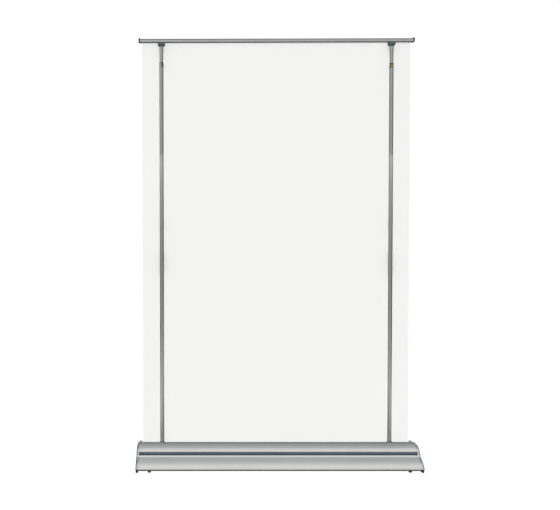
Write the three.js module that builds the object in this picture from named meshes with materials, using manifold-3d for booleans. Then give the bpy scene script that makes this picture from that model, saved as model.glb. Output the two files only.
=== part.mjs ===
// Wide two-pole roll-up banner stand, in millimetres, +Z up.
// The origin is on the floor at the centre of the footprint. The wide foot points along -Y,
// the graphic hangs behind the poles on the +Y side, and the stand is seen from -Y as drawn.
import * as THREE from 'three';
import { mergeVertices } from 'three/addons/utils/BufferGeometryUtils.js';
import Module from 'manifold-3d';

const wasm = await Module();
wasm.setup();

// ---------------------------------------------------------------- driving dimensions
const GAP = 0.3;                 // clearance that touching pieces keep
const HALF_WIDTH = 765;          // centre to the outer face of a base end cap
const FLOOR_TO_BASE = 10;        // the rubber feet lift the base by this much
const WALL = 2.5;                // extrusion wall
const CAP_THICKNESS = 14;
const CAP_PLATE = 5;             // solid outer part of an end cap
const SHOULDER = 8;              // drop of the rolled shoulder over an end cap's thickness

const FOOT_FRONT_Y = -145;
const BASE_REAR_Y = 145;
const DOME = { y: 7.5, z: 15.6, radius: 102 };   // centre line and radius of the domed cover
const DOME_FRONT_Y = -63;
const DOME_REAR_Y = 61;
const GROOVE_WALL_Y = -52;
const WEB_Y = 29;                // web that carries the cover
const WEB_TOP_Z = 111;
const ROOF_EDGE = { y: 68.2, z: 98.5 };          // rear edge of the slot
const SCREW_PLACES = [[-128, 21.5], [135, 22], [WEB_Y, 104.5]];
const SCREW = { hole: 2.3, head: 4, headDepth: 2.6, shank: 2, length: 30 };

const POLE_X = 631;
const POLE_Y = 49;
const TUBE = { outer: 11.2, inner: 10.3 };       // lower and middle pole sections
const UPPER = { outer: 10, inner: 8.8 };
const SOCKET = { outer: 13.2, bore: 11.6, flange: 17, proud: 1.4, bottom: 12.8 };
const POLE_SEAT_Z = { left: 29, right: 22 };     // the right pole sits a little deeper
const SECTION_LENGTH = 1087;     // a pole section, short enough for the carry bag
const UPPER_LENGTH = 975;
const FERRULE = { outer: 10, inner: 8.4, half: 60 };

const WINDOW = { height: 23, halfAngle: 75 };    // cut-out at the top of the middle section
const BUSH = { collar: 4, inner: 10.25, halfAngle: 73 };
const LOCK = { outer: 12, inner: 10.35, halfAngle: 38, height: 14, top: 3, travel: 3 };
const LOCK_FACING = { left: -18, right: -90 };   // degrees about Z: nearly sideways, to the front

const SHEET_Y = 65;
const SHEET_HALF_WIDTH = 739;
const SHEET_SOLID = 0.8;         // thickness of the graphic as a solid
const FILM = 0.35;               // real thickness of the graphic
const WOUND_LENGTH = 950;        // graphic left on the roller at this height
const ROLLER = { radius: 19, inner: 17.4, half: 742, z: 54 };
const ROLL_RADIUS = Math.sqrt(ROLLER.radius ** 2 + FILM * WOUND_LENGTH / Math.PI);
const ROLLER_Y = SHEET_Y + SHEET_SOLID / 2 + GAP + ROLL_RADIUS;

const RAIL = { half: 756, front: 38.5, rear: 68.5, bottom: 2317.5, height: 19, cap: 8, capProud: 4.5 };
const BRACKET = { width: 38, depth: 24, height: 20, chamfer: 4, neck: 4 };
const TONGUE = { width: 30, depth: 10, height: 9 };  // of a bracket, stands in the rail's channel
const TOP_PLUG_DEPTH = 30;

const FOOT = { x: 692, frontY: -133, rearY: 124, radius: 9.5 };
const PAD = { x: 758, frontY: -128, rearY: 128, width: 12, depth: 28 };
const FELT = { front: 66.2, bottom: 90, top: 98 };
const LUG = { reach: 8, stemFoot: 92, stemTop: 106, foot: 103.5, shoulder: 109, top: 113 };
const PLUG = { depth: 26, bore: 8.2, lip: 3.5 };  // closes an end of the roller tube
const BUSHING = { outer: 8, inner: 5.2, inside: 24, outside: 5 };
const AXLE = { radius: 5, flange: 11, flangeDepth: 5, stubLength: 30, spindleStart: 330 };
const ANCHOR = { radius: 15, from: 334, to: 348 };
const SPRING = { from: 352, to: 708, radius: 12, wire: 1.4, turns: 12, steps: 10 };
const SHOE = { below: 12, step: 6, inside: 25 };  // foot of an upper pole section
const ABOVE_BASE = 130;          // a height clear of the whole base, where cuts end
const PAST = 1;                  // how far a cut or a joined part runs past its face
const ROUND = 32;                // sides of a tube

// ---------------------------------------------------------------- colours
const finish = (color, roughness, metalness) => ({ color, roughness, metalness });
const SATIN = finish(0xb9bab6, 0.38, 1);
const TUBE_SATIN = finish(0x9a9b98, 0.34, 1);
const POLISHED = finish(0xb4bab9, 0.14, 1);
const STEEL = finish(0x8c8f92, 0.35, 1);
const BRASS = finish(0xa8883e, 0.3, 1);
const DARK_PLASTIC = finish(0x454c4e, 0.5, 0);
const BLACK_RUBBER = finish(0x141414, 0.8, 0);
const GREY_FELT = finish(0x5a5a5a, 0.95, 0);
const FILM_WHITE = finish(0xf3f3f3, 0.6, 0);

// ---------------------------------------------------------------- small tools
const rad = THREE.MathUtils.degToRad;
const SIDES = [['left', -1], ['right', 1]];
const group = new THREE.Group();

function add(name, geometry, look) {
  const mesh = new THREE.Mesh(geometry, new THREE.MeshStandardMaterial(look));
  mesh.name = name;
  group.add(mesh);
  return mesh;
}

function solid(geometry) {
  geometry.deleteAttribute('normal');
  geometry.deleteAttribute('uv');
  const merged = mergeVertices(geometry, 1e-4);
  const vertProperties = new Float32Array(merged.attributes.position.array);
  const triVerts = new Uint32Array(merged.index.array);
  return new wasm.Manifold(new wasm.Mesh({ numProp: 3, vertProperties, triVerts }));
}

function geometryOf(manifold) {
  const mesh = manifold.getMesh();
  const geometry = new THREE.BufferGeometry();
  geometry.setAttribute('position', new THREE.BufferAttribute(mesh.vertProperties, 3));
  geometry.setIndex(new THREE.BufferAttribute(mesh.triVerts, 1));
  return geometry;
}

// A section drawn in the Y-Z plane and drawn out along X.
const ALONG_X = new THREE.Matrix4().makeBasis(
  new THREE.Vector3(0, 1, 0), new THREE.Vector3(0, 0, 1), new THREE.Vector3(1, 0, 0));

function alongX(shape, from, to, curveSegments = 10) {
  const geometry = new THREE.ExtrudeGeometry(shape, { depth: to - from, bevelEnabled: false, curveSegments });
  return geometry.applyMatrix4(ALONG_X).translate(from, 0, 0);
}

// A section drawn in the X-Y plane and drawn up along Z.
function alongZ(shape, from, to, curveSegments = 10) {
  const geometry = new THREE.ExtrudeGeometry(shape, { depth: to - from, bevelEnabled: false, curveSegments });
  return geometry.translate(0, 0, from);
}

function polygon(points) {
  return new THREE.Shape(points.map(([a, b]) => new THREE.Vector2(a, b)));
}

// A hole runs the opposite way to its outline.
function circle(u, v, radius, clockwise = true) {
  return new THREE.Path().absarc(u, v, radius, 0, 2 * Math.PI, clockwise);
}

function disc(u, v, radius) {
  return new THREE.Shape().absarc(u, v, radius, 0, 2 * Math.PI, false);
}

function ringShape(u, v, outer, inner) {
  const shape = disc(u, v, outer);
  shape.holes.push(circle(u, v, inner));
  return shape;
}

// A full circle is drawn with two sides for each curve segment.
const ringZ = (x, y, outer, inner, from, to) => alongZ(ringShape(x, y, outer, inner), from, to, ROUND / 2);
const ringX = (y, z, outer, inner, from, to) => alongX(ringShape(y, z, outer, inner), from, to, ROUND / 2);
const rodZ = (x, y, radius, from, to, sides = ROUND) => alongZ(disc(x, y, radius), from, to, sides / 2);
const rodX = (y, z, radius, from, to, sides = ROUND) => alongX(disc(y, z, radius), from, to, sides / 2);

// Part of a tube wall, centred on the direction `facing`, as a section in the X-Y plane.
function wallSector(outer, inner, halfAngle, facing) {
  const from = rad(facing - halfAngle);
  const to = rad(facing + halfAngle);
  const shape = new THREE.Shape();
  shape.absarc(0, 0, outer, from, to, false);
  shape.absarc(0, 0, inner, to, from, true);
  return shape;
}

function box(x0, x1, y0, y1, z0, z1) {
  return new THREE.BoxGeometry(x1 - x0, y1 - y0, z1 - z0)
    .translate((x0 + x1) / 2, (y0 + y1) / 2, (z0 + z1) / 2);
}

// A span that lies from `near` to `far` on one side of the centre.
const span = (sign, near, far) => (sign > 0 ? [near, far] : [-far, -near]);

// Height of the domed cover's surface, or of a surface `inset` below it.
const domeZ = (y, inset = 0) => DOME.z + Math.sqrt((DOME.radius - inset) ** 2 - (y - DOME.y) ** 2);
const domeAngle = (y, inset = 0) => Math.acos((y - DOME.y) / (DOME.radius - inset));

// ---------------------------------------------------------------- base sections
// The foot from its bottom front edge over the nose and up the slope.
function footOutline(shape) {
  // an upright plinth, set back a little under the nose
  shape.moveTo(-141.6, FLOOR_TO_BASE);
  shape.quadraticCurveTo(-143.6, FLOOR_TO_BASE, -143.7, 12);
  shape.lineTo(-143.8, 16.4);
  shape.quadraticCurveTo(FOOT_FRONT_Y, 16.7, FOOT_FRONT_Y, 18);
  shape.quadraticCurveTo(-143.8, 25, -135.5, 35.5);
  shape.quadraticCurveTo(-123.5, 44, -110, 51);
  shape.quadraticCurveTo(-95.5, 58.2, -80.5, 65);
}

// The rear housing from the slot's edge over the roller and down to the floor.
function rearOutline(shape) {
  shape.lineTo(ROOF_EDGE.y, ROOF_EDGE.z);
  shape.lineTo(97, 92);
  shape.bezierCurveTo(124, 87, 143, 72, BASE_REAR_Y, 44);
  shape.lineTo(BASE_REAR_Y, 14);
  shape.quadraticCurveTo(BASE_REAR_Y, FLOOR_TO_BASE, 141, FLOOR_TO_BASE);
}

function baseSection() {
  const floor = FLOOR_TO_BASE + WALL;
  const shape = new THREE.Shape();
  footOutline(shape);
  // bright lip in front of the groove, the groove, and the wall behind it
  shape.lineTo(-76.5, 72.5);
  shape.lineTo(-74.5, 73);
  shape.lineTo(-73.5, 71);
  shape.lineTo(-73.5, 62);
  shape.lineTo(GROOVE_WALL_Y, 60);
  shape.lineTo(GROOVE_WALL_Y, 84);
  shape.lineTo(GROOVE_WALL_Y + WALL, 84);
  shape.lineTo(GROOVE_WALL_Y + WALL, floor);
  // web that carries the cover, with a screw boss along its top
  shape.lineTo(WEB_Y - 1.5, floor);
  shape.lineTo(WEB_Y - 1.5, 98);
  shape.lineTo(WEB_Y - 5, 98);
  shape.lineTo(WEB_Y - 5, WEB_TOP_Z);
  shape.lineTo(WEB_Y + 5, WEB_TOP_Z);
  shape.lineTo(WEB_Y + 5, 98);
  shape.lineTo(WEB_Y + 1.5, 98);
  shape.lineTo(WEB_Y + 1.5, floor);
  // roller chamber, with a screw boss in its rear corner
  shape.lineTo(128, floor);
  shape.lineTo(128, 31);
  shape.lineTo(BASE_REAR_Y - WALL, 31);
  shape.lineTo(BASE_REAR_Y - WALL, 44);
  shape.bezierCurveTo(140.5, 71, 123, 84, 96.5, 89.5);
  shape.lineTo(ROOF_EDGE.y, ROOF_EDGE.z - WALL);
  rearOutline(shape);
  shape.closePath();

  // hollow of the foot, around the boss for the front screw
  const hollow = new THREE.Path();
  hollow.moveTo(-120, floor);
  hollow.lineTo(GROOVE_WALL_Y - WALL, floor);
  hollow.lineTo(GROOVE_WALL_Y - WALL, 57.5);
  hollow.lineTo(-76, 59.5);
  hollow.lineTo(-76, 66);
  hollow.lineTo(-79.3, 62.7);
  hollow.quadraticCurveTo(-94.4, 56, -108.8, 48.8);
  hollow.quadraticCurveTo(-122, 42, -133, 34.2);
  hollow.lineTo(-133.6, 31.5);
  hollow.lineTo(-120, 29.5);
  hollow.closePath();
  shape.holes.push(hollow);
  for (const [y, z] of SCREW_PLACES) {
    shape.holes.push(circle(y, z, SCREW.hole, false));
  }
  return shape;
}

function coverSection() {
  const shape = new THREE.Shape();
  const inner = DOME.radius - WALL;
  const onInner = (y) => [y, domeZ(y, WALL)];
  const legs = [[GROOVE_WALL_Y + WALL + GAP, 74], [WEB_Y - 7.8, 100], [WEB_Y + 5.4, 102]];
  // the front edge is cut level, so only its point shows over the groove
  const edgeZ = domeZ(DOME_FRONT_Y);
  shape.moveTo(DOME.y - Math.sqrt(inner ** 2 - (edgeZ - DOME.z) ** 2), edgeZ);
  shape.lineTo(...onInner(legs[0][0]));
  legs.forEach(([y, bottom], i) => {
    const next = i + 1 < legs.length ? legs[i + 1][0] : DOME_REAR_Y;
    shape.lineTo(y, bottom);
    shape.lineTo(y + WALL - 0.1, bottom);
    shape.lineTo(...onInner(y + WALL - 0.1));
    shape.absarc(DOME.y, DOME.z, inner, domeAngle(y + WALL - 0.1, WALL), domeAngle(next, WALL), true);
  });
  shape.lineTo(DOME_REAR_Y, domeZ(DOME_REAR_Y));
  shape.absarc(DOME.y, DOME.z, DOME.radius, domeAngle(DOME_REAR_Y), domeAngle(DOME_FRONT_Y), false);
  shape.closePath();
  return shape;
}

function capSection() {
  const shape = new THREE.Shape();
  footOutline(shape);
  shape.bezierCurveTo(-72, 73, -69, 80, DOME_FRONT_Y, domeZ(DOME_FRONT_Y));
  shape.absarc(DOME.y, DOME.z, DOME.radius, domeAngle(DOME_FRONT_Y), domeAngle(DOME_REAR_Y), true);
  rearOutline(shape);
  shape.closePath();
  return shape;
}

// The hollow inside an end cap, at least a few millimetres inside its outline.
const CAP_POCKET = [
  [-118, 18], [124, 18], [124, 66], [106, 78], [60, 84], [20, 92],
  [-20, 96], [-44, 80], [-62, 58], [-88, 43], [-118, 33],
];

// ---------------------------------------------------------------- base
function buildBase() {
  const inside = HALF_WIDTH - CAP_THICKNESS;
  const ends = inside - GAP;
  add('base_extrusion', alongX(baseSection(), -ends, ends), SATIN);

  let cover = solid(alongX(coverSection(), -ends, ends, 20));
  for (const [, sign] of SIDES) {
    const x = sign * POLE_X;
    const room = SOCKET.outer + GAP;
    const notchFoot = 60;
    const notchRear = 80;
    cover = cover.subtract(solid(rodZ(x, POLE_Y, room, notchFoot, ABOVE_BASE)));
    cover = cover.subtract(solid(box(x - room, x + room, POLE_Y, notchRear, notchFoot, ABOVE_BASE)));
  }
  add('dome_cover', geometryOf(cover), SATIN);

  for (const [side, sign] of SIDES) {
    buildEndCap(side, sign, inside);
    buildSocket(side, sign * POLE_X);
    buildSlotGuide(side, sign, inside);
    buildFeet(side, sign);
  }
  const felt = box(-SHEET_HALF_WIDTH, SHEET_HALF_WIDTH, FELT.front, ROOF_EDGE.y - GAP, FELT.bottom, FELT.top);
  add('slot_felt', felt, GREY_FELT);
}

// What is taken off a cap's top outer corner to leave it rolled over, as seen from the front.
function shoulderCut(sign, inside) {
  const reach = 100;             // half length of the cut, past both edges of the dome
  const overrun = 10;
  const sides = 64;
  const start = DOME.z + DOME.radius - SHOULDER;
  const corner = box(...span(sign, inside, HALF_WIDTH + PAST), -reach, reach, start, ABOVE_BASE);
  const roll = new THREE.CylinderGeometry(1, 1, 2 * (reach + overrun), sides)
    .scale(CAP_THICKNESS, 1, SHOULDER)
    .translate(sign * inside, 0, start);
  return solid(corner).subtract(solid(roll));
}

function buildEndCap(side, sign, inside) {
  const section = capSection();
  const pocket = polygon(CAP_POCKET);
  const plateInner = HALF_WIDTH - CAP_PLATE;
  let cap = solid(alongX(section, ...span(sign, inside, HALF_WIDTH), 14));
  cap = cap.subtract(solid(alongX(pocket, ...span(sign, inside - PAST, plateInner))));
  cap = cap.subtract(shoulderCut(sign, inside));
  SCREW_PLACES.forEach(([y, z], i) => {
    // each head lies just under the cap's face, in a counterbore with clearance all round
    const headInner = HALF_WIDTH - SCREW.headDepth - GAP;
    const through = span(sign, inside - PAST, HALF_WIDTH + PAST);
    const bore = span(sign, headInner - GAP, HALF_WIDTH + PAST);
    cap = cap.subtract(solid(rodX(y, z, SCREW.hole, ...through, 16)));
    cap = cap.subtract(solid(rodX(y, z, SCREW.head + 0.4, ...bore, 20)));
    const head = solid(rodX(y, z, SCREW.head, ...span(sign, headInner, HALF_WIDTH - GAP), 20));
    const shankSpan = span(sign, HALF_WIDTH - SCREW.length, headInner + PAST);
    const shank = solid(rodX(y, z, SCREW.shank, ...shankSpan, 12));
    const place = ['front', 'rear', 'top'][i];
    add(`end_cap_screw_${side}_${place}`, geometryOf(head.add(shank)), STEEL);
  });
  add(`end_cap_${side}`, geometryOf(cap), POLISHED);
}

// A cup for the foot of a pole, with a flange that lies on the dome.
function buildSocket(side, x) {
  const reach = 30;              // half width of the blank, past the flange
  const domeSides = 96;
  const bottomZ = 85;            // under the flange, where it is cut from the dome
  const domed = (proud) =>
    solid(rodX(DOME.y, DOME.z, DOME.radius + proud, x - reach, x + reach, domeSides));
  const under = domed(GAP);
  const over = domed(SOCKET.proud);
  const flange = solid(rodZ(x, POLE_Y, SOCKET.flange, bottomZ, ABOVE_BASE)).intersect(over).subtract(under);
  let socket = solid(rodZ(x, POLE_Y, SOCKET.outer, SOCKET.bottom, ABOVE_BASE)).intersect(over).add(flange);
  socket = socket.subtract(solid(rodZ(x, POLE_Y, SOCKET.bore, POLE_SEAT_Z[side] - GAP, ABOVE_BASE)));
  // the rear is cut flat beside the graphic
  const flat = POLE_Y + SOCKET.outer - 0.4;
  socket = socket.subtract(solid(box(x - reach, x + reach, flat, flat + reach, 0, ABOVE_BASE)));
  add(`pole_socket_${side}`, geometryOf(socket), DARK_PLASTIC);
}

// A lug at each end of the slot that keeps the graphic central.
function buildSlotGuide(side, sign, inside) {
  const y0 = DOME_REAR_Y + GAP;
  const y1 = ROOF_EDGE.y - GAP;
  const stemSpan = span(sign, inside - LUG.reach, inside - GAP);
  const stem = solid(box(...stemSpan, y0, y1, LUG.stemFoot, LUG.stemTop));
  const lug = new THREE.Shape();
  lug.moveTo(y0, LUG.foot);
  lug.lineTo(y1, LUG.foot);
  lug.lineTo(y1, LUG.shoulder);
  lug.quadraticCurveTo(y1, LUG.top, (y0 + y1) / 2, LUG.top);
  lug.quadraticCurveTo(y0, LUG.top, y0, LUG.shoulder);
  lug.closePath();
  const head = solid(alongX(lug, ...span(sign, inside - LUG.reach, inside + LUG.reach)));
  add(`slot_guide_${side}`, geometryOf(stem.add(head)), POLISHED);
}

function buildFeet(side, sign) {
  const top = FLOOR_TO_BASE - GAP;
  for (const [place, y] of [['front', FOOT.frontY], ['rear', FOOT.rearY]]) {
    add(`round_foot_${place}_${side}`, rodZ(sign * FOOT.x, y, FOOT.radius, 0, top, 24), BLACK_RUBBER);
  }
  for (const [place, y] of [['front', PAD.frontY], ['rear', PAD.rearY]]) {
    const x = sign * PAD.x;
    const pad = box(x - PAD.width / 2, x + PAD.width / 2, y - PAD.depth / 2, y + PAD.depth / 2, 0, top);
    add(`corner_pad_${place}_${side}`, pad, BLACK_RUBBER);
  }
}

// ---------------------------------------------------------------- roller
function buildRoller() {
  const y = ROLLER_Y;
  const z = ROLLER.z;
  const capFace = HALF_WIDTH - CAP_PLATE - GAP;
  add('roller_tube', ringX(y, z, ROLLER.radius, ROLLER.inner, -ROLLER.half, ROLLER.half), TUBE_SATIN);
  add('graphic_roll',
    ringX(y, z, ROLL_RADIUS, ROLLER.radius + 0.2, -SHEET_HALF_WIDTH, SHEET_HALF_WIDTH), FILM_WHITE);

  for (const [side, sign] of SIDES) {
    const end = ROLLER.half;
    const plug = solid(rodX(y, z, ROLLER.inner - 0.2, ...span(sign, end - PLUG.depth, end + PAST)))
      .add(solid(rodX(y, z, ROLLER.radius - 0.4, ...span(sign, end + GAP, end + PLUG.lip))))
      .subtract(solid(rodX(y, z, PLUG.bore, ...span(sign, end - PLUG.depth - PAST, end + PLUG.lip + PAST))));
    add(`roller_plug_${side}`, geometryOf(plug), DARK_PLASTIC);
    const bushSpan = span(sign, end - BUSHING.inside, end + BUSHING.outside);
    add(`bearing_bush_${side}`, ringX(y, z, BUSHING.outer, BUSHING.inner, ...bushSpan), FILM_WHITE);
  }

  const axle = (sign, innerEnd) => {
    const flange = solid(rodX(y, z, AXLE.flange, ...span(sign, capFace - AXLE.flangeDepth, capFace)));
    const rod = solid(rodX(y, z, AXLE.radius, ...span(sign, innerEnd, capFace - PAST), 20));
    return geometryOf(flange.add(rod));
  };
  add('idler_stub', axle(-1, ROLLER.half - AXLE.stubLength), STEEL);
  add('spring_spindle', axle(1, AXLE.spindleStart), STEEL);
  add('spring_anchor', ringX(y, z, ANCHOR.radius, BUSHING.inner, ANCHOR.from, ANCHOR.to), DARK_PLASTIC);

  // the return spring, wound around the spindle inside the tube
  class Coil extends THREE.Curve {
    getPoint(t) {
      const angle = 2 * Math.PI * SPRING.turns * t;
      const x = SPRING.from + (SPRING.to - SPRING.from) * t;
      return new THREE.Vector3(x, y + SPRING.radius * Math.cos(angle), z + SPRING.radius * Math.sin(angle));
    }
  }
  const coil = new THREE.ExtrudeGeometry(disc(0, 0, SPRING.wire), {
    steps: SPRING.turns * SPRING.steps, bevelEnabled: false, extrudePath: new Coil(), curveSegments: 3,
  });
  add('torsion_spring', geometryOf(solid(coil)), STEEL);
}

// ---------------------------------------------------------------- poles
function buildPole(side, sign) {
  const x = sign * POLE_X;
  const place = (geometry) => geometry.translate(x, POLE_Y, 0);
  const facing = LOCK_FACING[side];
  const seat = POLE_SEAT_Z[side];
  const joint = seat + SECTION_LENGTH;
  const top = joint + SECTION_LENGTH;
  add(`lower_tube_${side}`, ringZ(x, POLE_Y, TUBE.outer, TUBE.inner, seat, joint - GAP), TUBE_SATIN);
  add(`ferrule_${side}`,
    ringZ(x, POLE_Y, FERRULE.outer, FERRULE.inner, joint - FERRULE.half, joint + FERRULE.half), STEEL);

  // a cutter reaches through the wall from well inside the tube to well outside it
  const cutter = (halfAngle) => wallSector(TUBE.outer + 2, 6, halfAngle, facing);
  const opening = alongZ(cutter(WINDOW.halfAngle), top - WINDOW.height, top + PAST);
  const middle = solid(ringZ(0, 0, TUBE.outer, TUBE.inner, joint, top)).subtract(solid(opening));
  add(`middle_tube_${side}`, place(geometryOf(middle)), TUBE_SATIN);

  // dark bush: a collar on the tube's end and a frame that fills the cut-out around the lock
  const frame = solid(alongZ(wallSector(TUBE.outer, BUSH.inner, BUSH.halfAngle, facing),
    top - WINDOW.height + GAP, top + PAST));
  const sideRoom = 2;            // degrees of room each side of the lock
  const room = alongZ(cutter(LOCK.halfAngle + sideRoom),
    top - LOCK.top - LOCK.height - LOCK.travel - GAP, top - LOCK.top + GAP);
  const collar = solid(ringZ(0, 0, TUBE.outer, BUSH.inner, top + GAP, top + BUSH.collar));
  add(`lock_bush_${side}`, place(geometryOf(collar.add(frame).subtract(solid(room)))), DARK_PLASTIC);

  const lock = alongZ(wallSector(LOCK.outer, LOCK.inner, LOCK.halfAngle, facing),
    top - LOCK.top - LOCK.height, top - LOCK.top);
  add(`lock_slide_${side}`, place(lock), BRASS);

  const neckTop = RAIL.bottom - GAP - BRACKET.height;
  const upperTop = neckTop - BRACKET.neck;
  const upperFoot = upperTop - UPPER_LENGTH;
  add(`upper_tube_${side}`, ringZ(x, POLE_Y, UPPER.outer, UPPER.inner, upperFoot, upperTop), TUBE_SATIN);
  const snug = UPPER.inner - 0.2;
  const shoe = solid(rodZ(x, POLE_Y, UPPER.outer, upperFoot - SHOE.below, upperFoot - GAP))
    .add(solid(rodZ(x, POLE_Y, snug, upperFoot - SHOE.step, upperFoot + SHOE.inside)));
  add(`guide_shoe_${side}`, geometryOf(shoe), DARK_PLASTIC);
  add(`top_plug_${side}`, rodZ(x, POLE_Y, snug, upperTop - TOP_PLUG_DEPTH, neckTop - GAP), DARK_PLASTIC);
  buildBracket(side, x, neckTop);
}

// The block that joins a pole to the rail: its tongue stands in the rail's channel.
function buildBracket(side, x, bottom) {
  const halfWidth = BRACKET.width / 2;
  const halfDepth = BRACKET.depth / 2;
  const top = bottom + BRACKET.height;
  const front = [
    [-halfWidth, top], [-halfWidth, bottom + BRACKET.chamfer], [-halfWidth + BRACKET.chamfer, bottom],
    [halfWidth - BRACKET.chamfer, bottom], [halfWidth, bottom + BRACKET.chamfer], [halfWidth, top],
  ];
  const block = new THREE.ExtrudeGeometry(polygon(front), { depth: BRACKET.depth, bevelEnabled: false })
    .rotateX(Math.PI / 2).translate(x, POLE_Y + halfDepth, 0);
  const tongue = box(x - TONGUE.width / 2, x + TONGUE.width / 2,
    POLE_Y - TONGUE.depth / 2, POLE_Y + TONGUE.depth / 2, top - PAST, top + TONGUE.height);
  add(`rail_bracket_${side}`, geometryOf(solid(block).add(solid(tongue))), DARK_PLASTIC);
}

// ---------------------------------------------------------------- top rail and graphic
function railSection() {
  const z0 = RAIL.bottom;
  const z1 = z0 + RAIL.height;
  const shape = new THREE.Shape();
  shape.moveTo(RAIL.front, z0 + 0.8);
  shape.quadraticCurveTo(RAIL.front, z0, RAIL.front + 0.8, z0);
  // channel for the brackets
  shape.lineTo(POLE_Y - 6, z0);
  shape.lineTo(POLE_Y - 6, z0 + 11);
  shape.lineTo(POLE_Y + 6, z0 + 11);
  shape.lineTo(POLE_Y + 6, z0);
  // chamber for the graphic and its clamp bar, open below through a slit
  shape.lineTo(SHEET_Y - 1.3, z0);
  shape.lineTo(SHEET_Y - 1.3, z0 + 1.8);
  shape.lineTo(SHEET_Y - 6.5, z0 + 1.8);
  shape.lineTo(SHEET_Y - 6.5, z1 - 2);
  shape.lineTo(SHEET_Y + 1.2, z1 - 2);
  shape.lineTo(SHEET_Y + 1.2, z0);
  shape.lineTo(RAIL.rear - 0.8, z0);
  shape.quadraticCurveTo(RAIL.rear, z0, RAIL.rear, z0 + 1);
  shape.lineTo(RAIL.rear, z1 - 4);
  shape.quadraticCurveTo(RAIL.rear, z1, RAIL.rear - 5, z1);
  // sloping face over the upright front
  shape.lineTo(RAIL.front + 10.5, z1);
  shape.quadraticCurveTo(RAIL.front + 9, z1, RAIL.front + 8, z1 - 0.9);
  shape.lineTo(RAIL.front, z1 - 8);
  shape.closePath();
  const hollow = new THREE.Path();
  hollow.moveTo(RAIL.front + 2, z0 + 13);
  hollow.lineTo(RAIL.front + 2, z1 - 8.5);
  hollow.lineTo(RAIL.front + 10, z1 - 2.2);
  hollow.lineTo(SHEET_Y - 8.5, z1 - 2);
  hollow.lineTo(SHEET_Y - 8.5, z0 + 13);
  hollow.closePath();
  shape.holes.push(hollow);
  return shape;
}

function buildRail() {
  const z0 = RAIL.bottom;
  const z1 = z0 + RAIL.height;
  const inner = RAIL.half - RAIL.cap;
  add('top_rail', alongX(railSection(), -inner + GAP, inner - GAP, 6), SATIN);
  const bar = box(-SHEET_HALF_WIDTH, SHEET_HALF_WIDTH, SHEET_Y - 6, SHEET_Y - 0.8, z0 + 2.5, z1 - 3);
  add('clamp_bar', bar, DARK_PLASTIC);
  for (const [side, sign] of SIDES) {
    const cap = new THREE.Shape();
    cap.moveTo(RAIL.front - 0.7, z0 - 0.7);
    cap.lineTo(RAIL.rear + 0.7, z0 - 0.7);
    cap.lineTo(RAIL.rear + 0.7, z1 - 3);
    cap.quadraticCurveTo(RAIL.rear, z1 + RAIL.capProud, POLE_Y + 4, z1 + RAIL.capProud);
    cap.quadraticCurveTo(RAIL.front, z1 + RAIL.capProud, RAIL.front - 0.7, z1 - 3);
    cap.closePath();
    add(`rail_cap_${side}`, alongX(cap, ...span(sign, inner, RAIL.half), 8), DARK_PLASTIC);
  }
  const sheet = box(-SHEET_HALF_WIDTH, SHEET_HALF_WIDTH,
    SHEET_Y - SHEET_SOLID / 2, SHEET_Y + SHEET_SOLID / 2, ROLLER.z + 2, z1 - 4);
  add('graphic_sheet', sheet, FILM_WHITE);
}

buildBase();
buildRoller();
for (const [side, sign] of SIDES) {
  buildPole(side, sign);
}
buildRail();

export default group;
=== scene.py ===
"""Wide two-pole roll-up banner stand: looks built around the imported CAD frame.

Lengths inside the shape functions are in millimetres and become metres when a mesh is made.
"""
import math
import random

import bmesh
import bpy
from mathutils import Matrix, Vector
from mathutils.geometry import tessellate_polygon


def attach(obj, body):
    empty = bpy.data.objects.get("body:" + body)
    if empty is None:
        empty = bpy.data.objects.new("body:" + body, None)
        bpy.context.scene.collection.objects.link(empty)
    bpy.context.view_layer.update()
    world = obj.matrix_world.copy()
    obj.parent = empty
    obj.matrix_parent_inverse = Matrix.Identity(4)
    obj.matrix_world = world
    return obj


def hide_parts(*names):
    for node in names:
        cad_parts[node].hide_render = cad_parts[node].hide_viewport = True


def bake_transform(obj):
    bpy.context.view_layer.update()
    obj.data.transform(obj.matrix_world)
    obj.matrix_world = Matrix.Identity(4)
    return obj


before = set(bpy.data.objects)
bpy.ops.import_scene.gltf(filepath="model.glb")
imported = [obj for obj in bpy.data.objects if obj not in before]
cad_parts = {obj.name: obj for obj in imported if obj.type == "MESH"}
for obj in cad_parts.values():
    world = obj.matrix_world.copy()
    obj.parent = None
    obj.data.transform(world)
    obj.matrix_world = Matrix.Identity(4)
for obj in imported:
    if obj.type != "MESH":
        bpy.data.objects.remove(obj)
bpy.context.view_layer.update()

MM = 0.001
GAP = 0.3        # clearance that touching pieces keep
SHARP = 32       # degrees; sharper edges aren't smoothed
CAMERA_PLACE = (-0.452, -3.8195, 1.250)
# studio brightness by the sine of the elevation, in front of the stand and behind it
FRONT_STOPS = ((-1, 0.25), (-0.05, 0.3), (0.0, 0.62), (0.27, 0.7), (0.6, 0.88), (0.85, 0.6), (1.0, 0.45))
FRONT_TINT = (1.0, 1.0, 0.985)
BACK_STOPS = ((-1, 0.25), (0.0, 0.25), (0.2, 0.28), (0.5, 0.32), (0.7, 0.37), (0.85, 0.46), (1.0, 0.45))
BACK_TINT = (0.975, 1.0, 1.005)
SIDES = (("left", -1), ("right", 1))
scene = bpy.context.scene


# ------------------------------------------------------------------ camera and light
def make_camera():
    data = bpy.data.cameras.new("camera")
    data.lens = 45.0
    data.sensor_width = 36.0
    data.shift_x = 0.1586
    camera = bpy.data.objects.new("camera", data)
    scene.collection.objects.link(camera)
    yaw, pitch, roll = math.radians(0.25), math.radians(1.475), math.radians(-0.08)
    turn = Matrix.Rotation(yaw, 4, "Z") @ Matrix.Rotation(math.pi / 2 - pitch, 4, "X")
    turn = turn @ Matrix.Rotation(roll, 4, "Z")
    camera.matrix_world = Matrix.Translation(CAMERA_PLACE) @ turn
    scene.camera = camera


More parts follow.
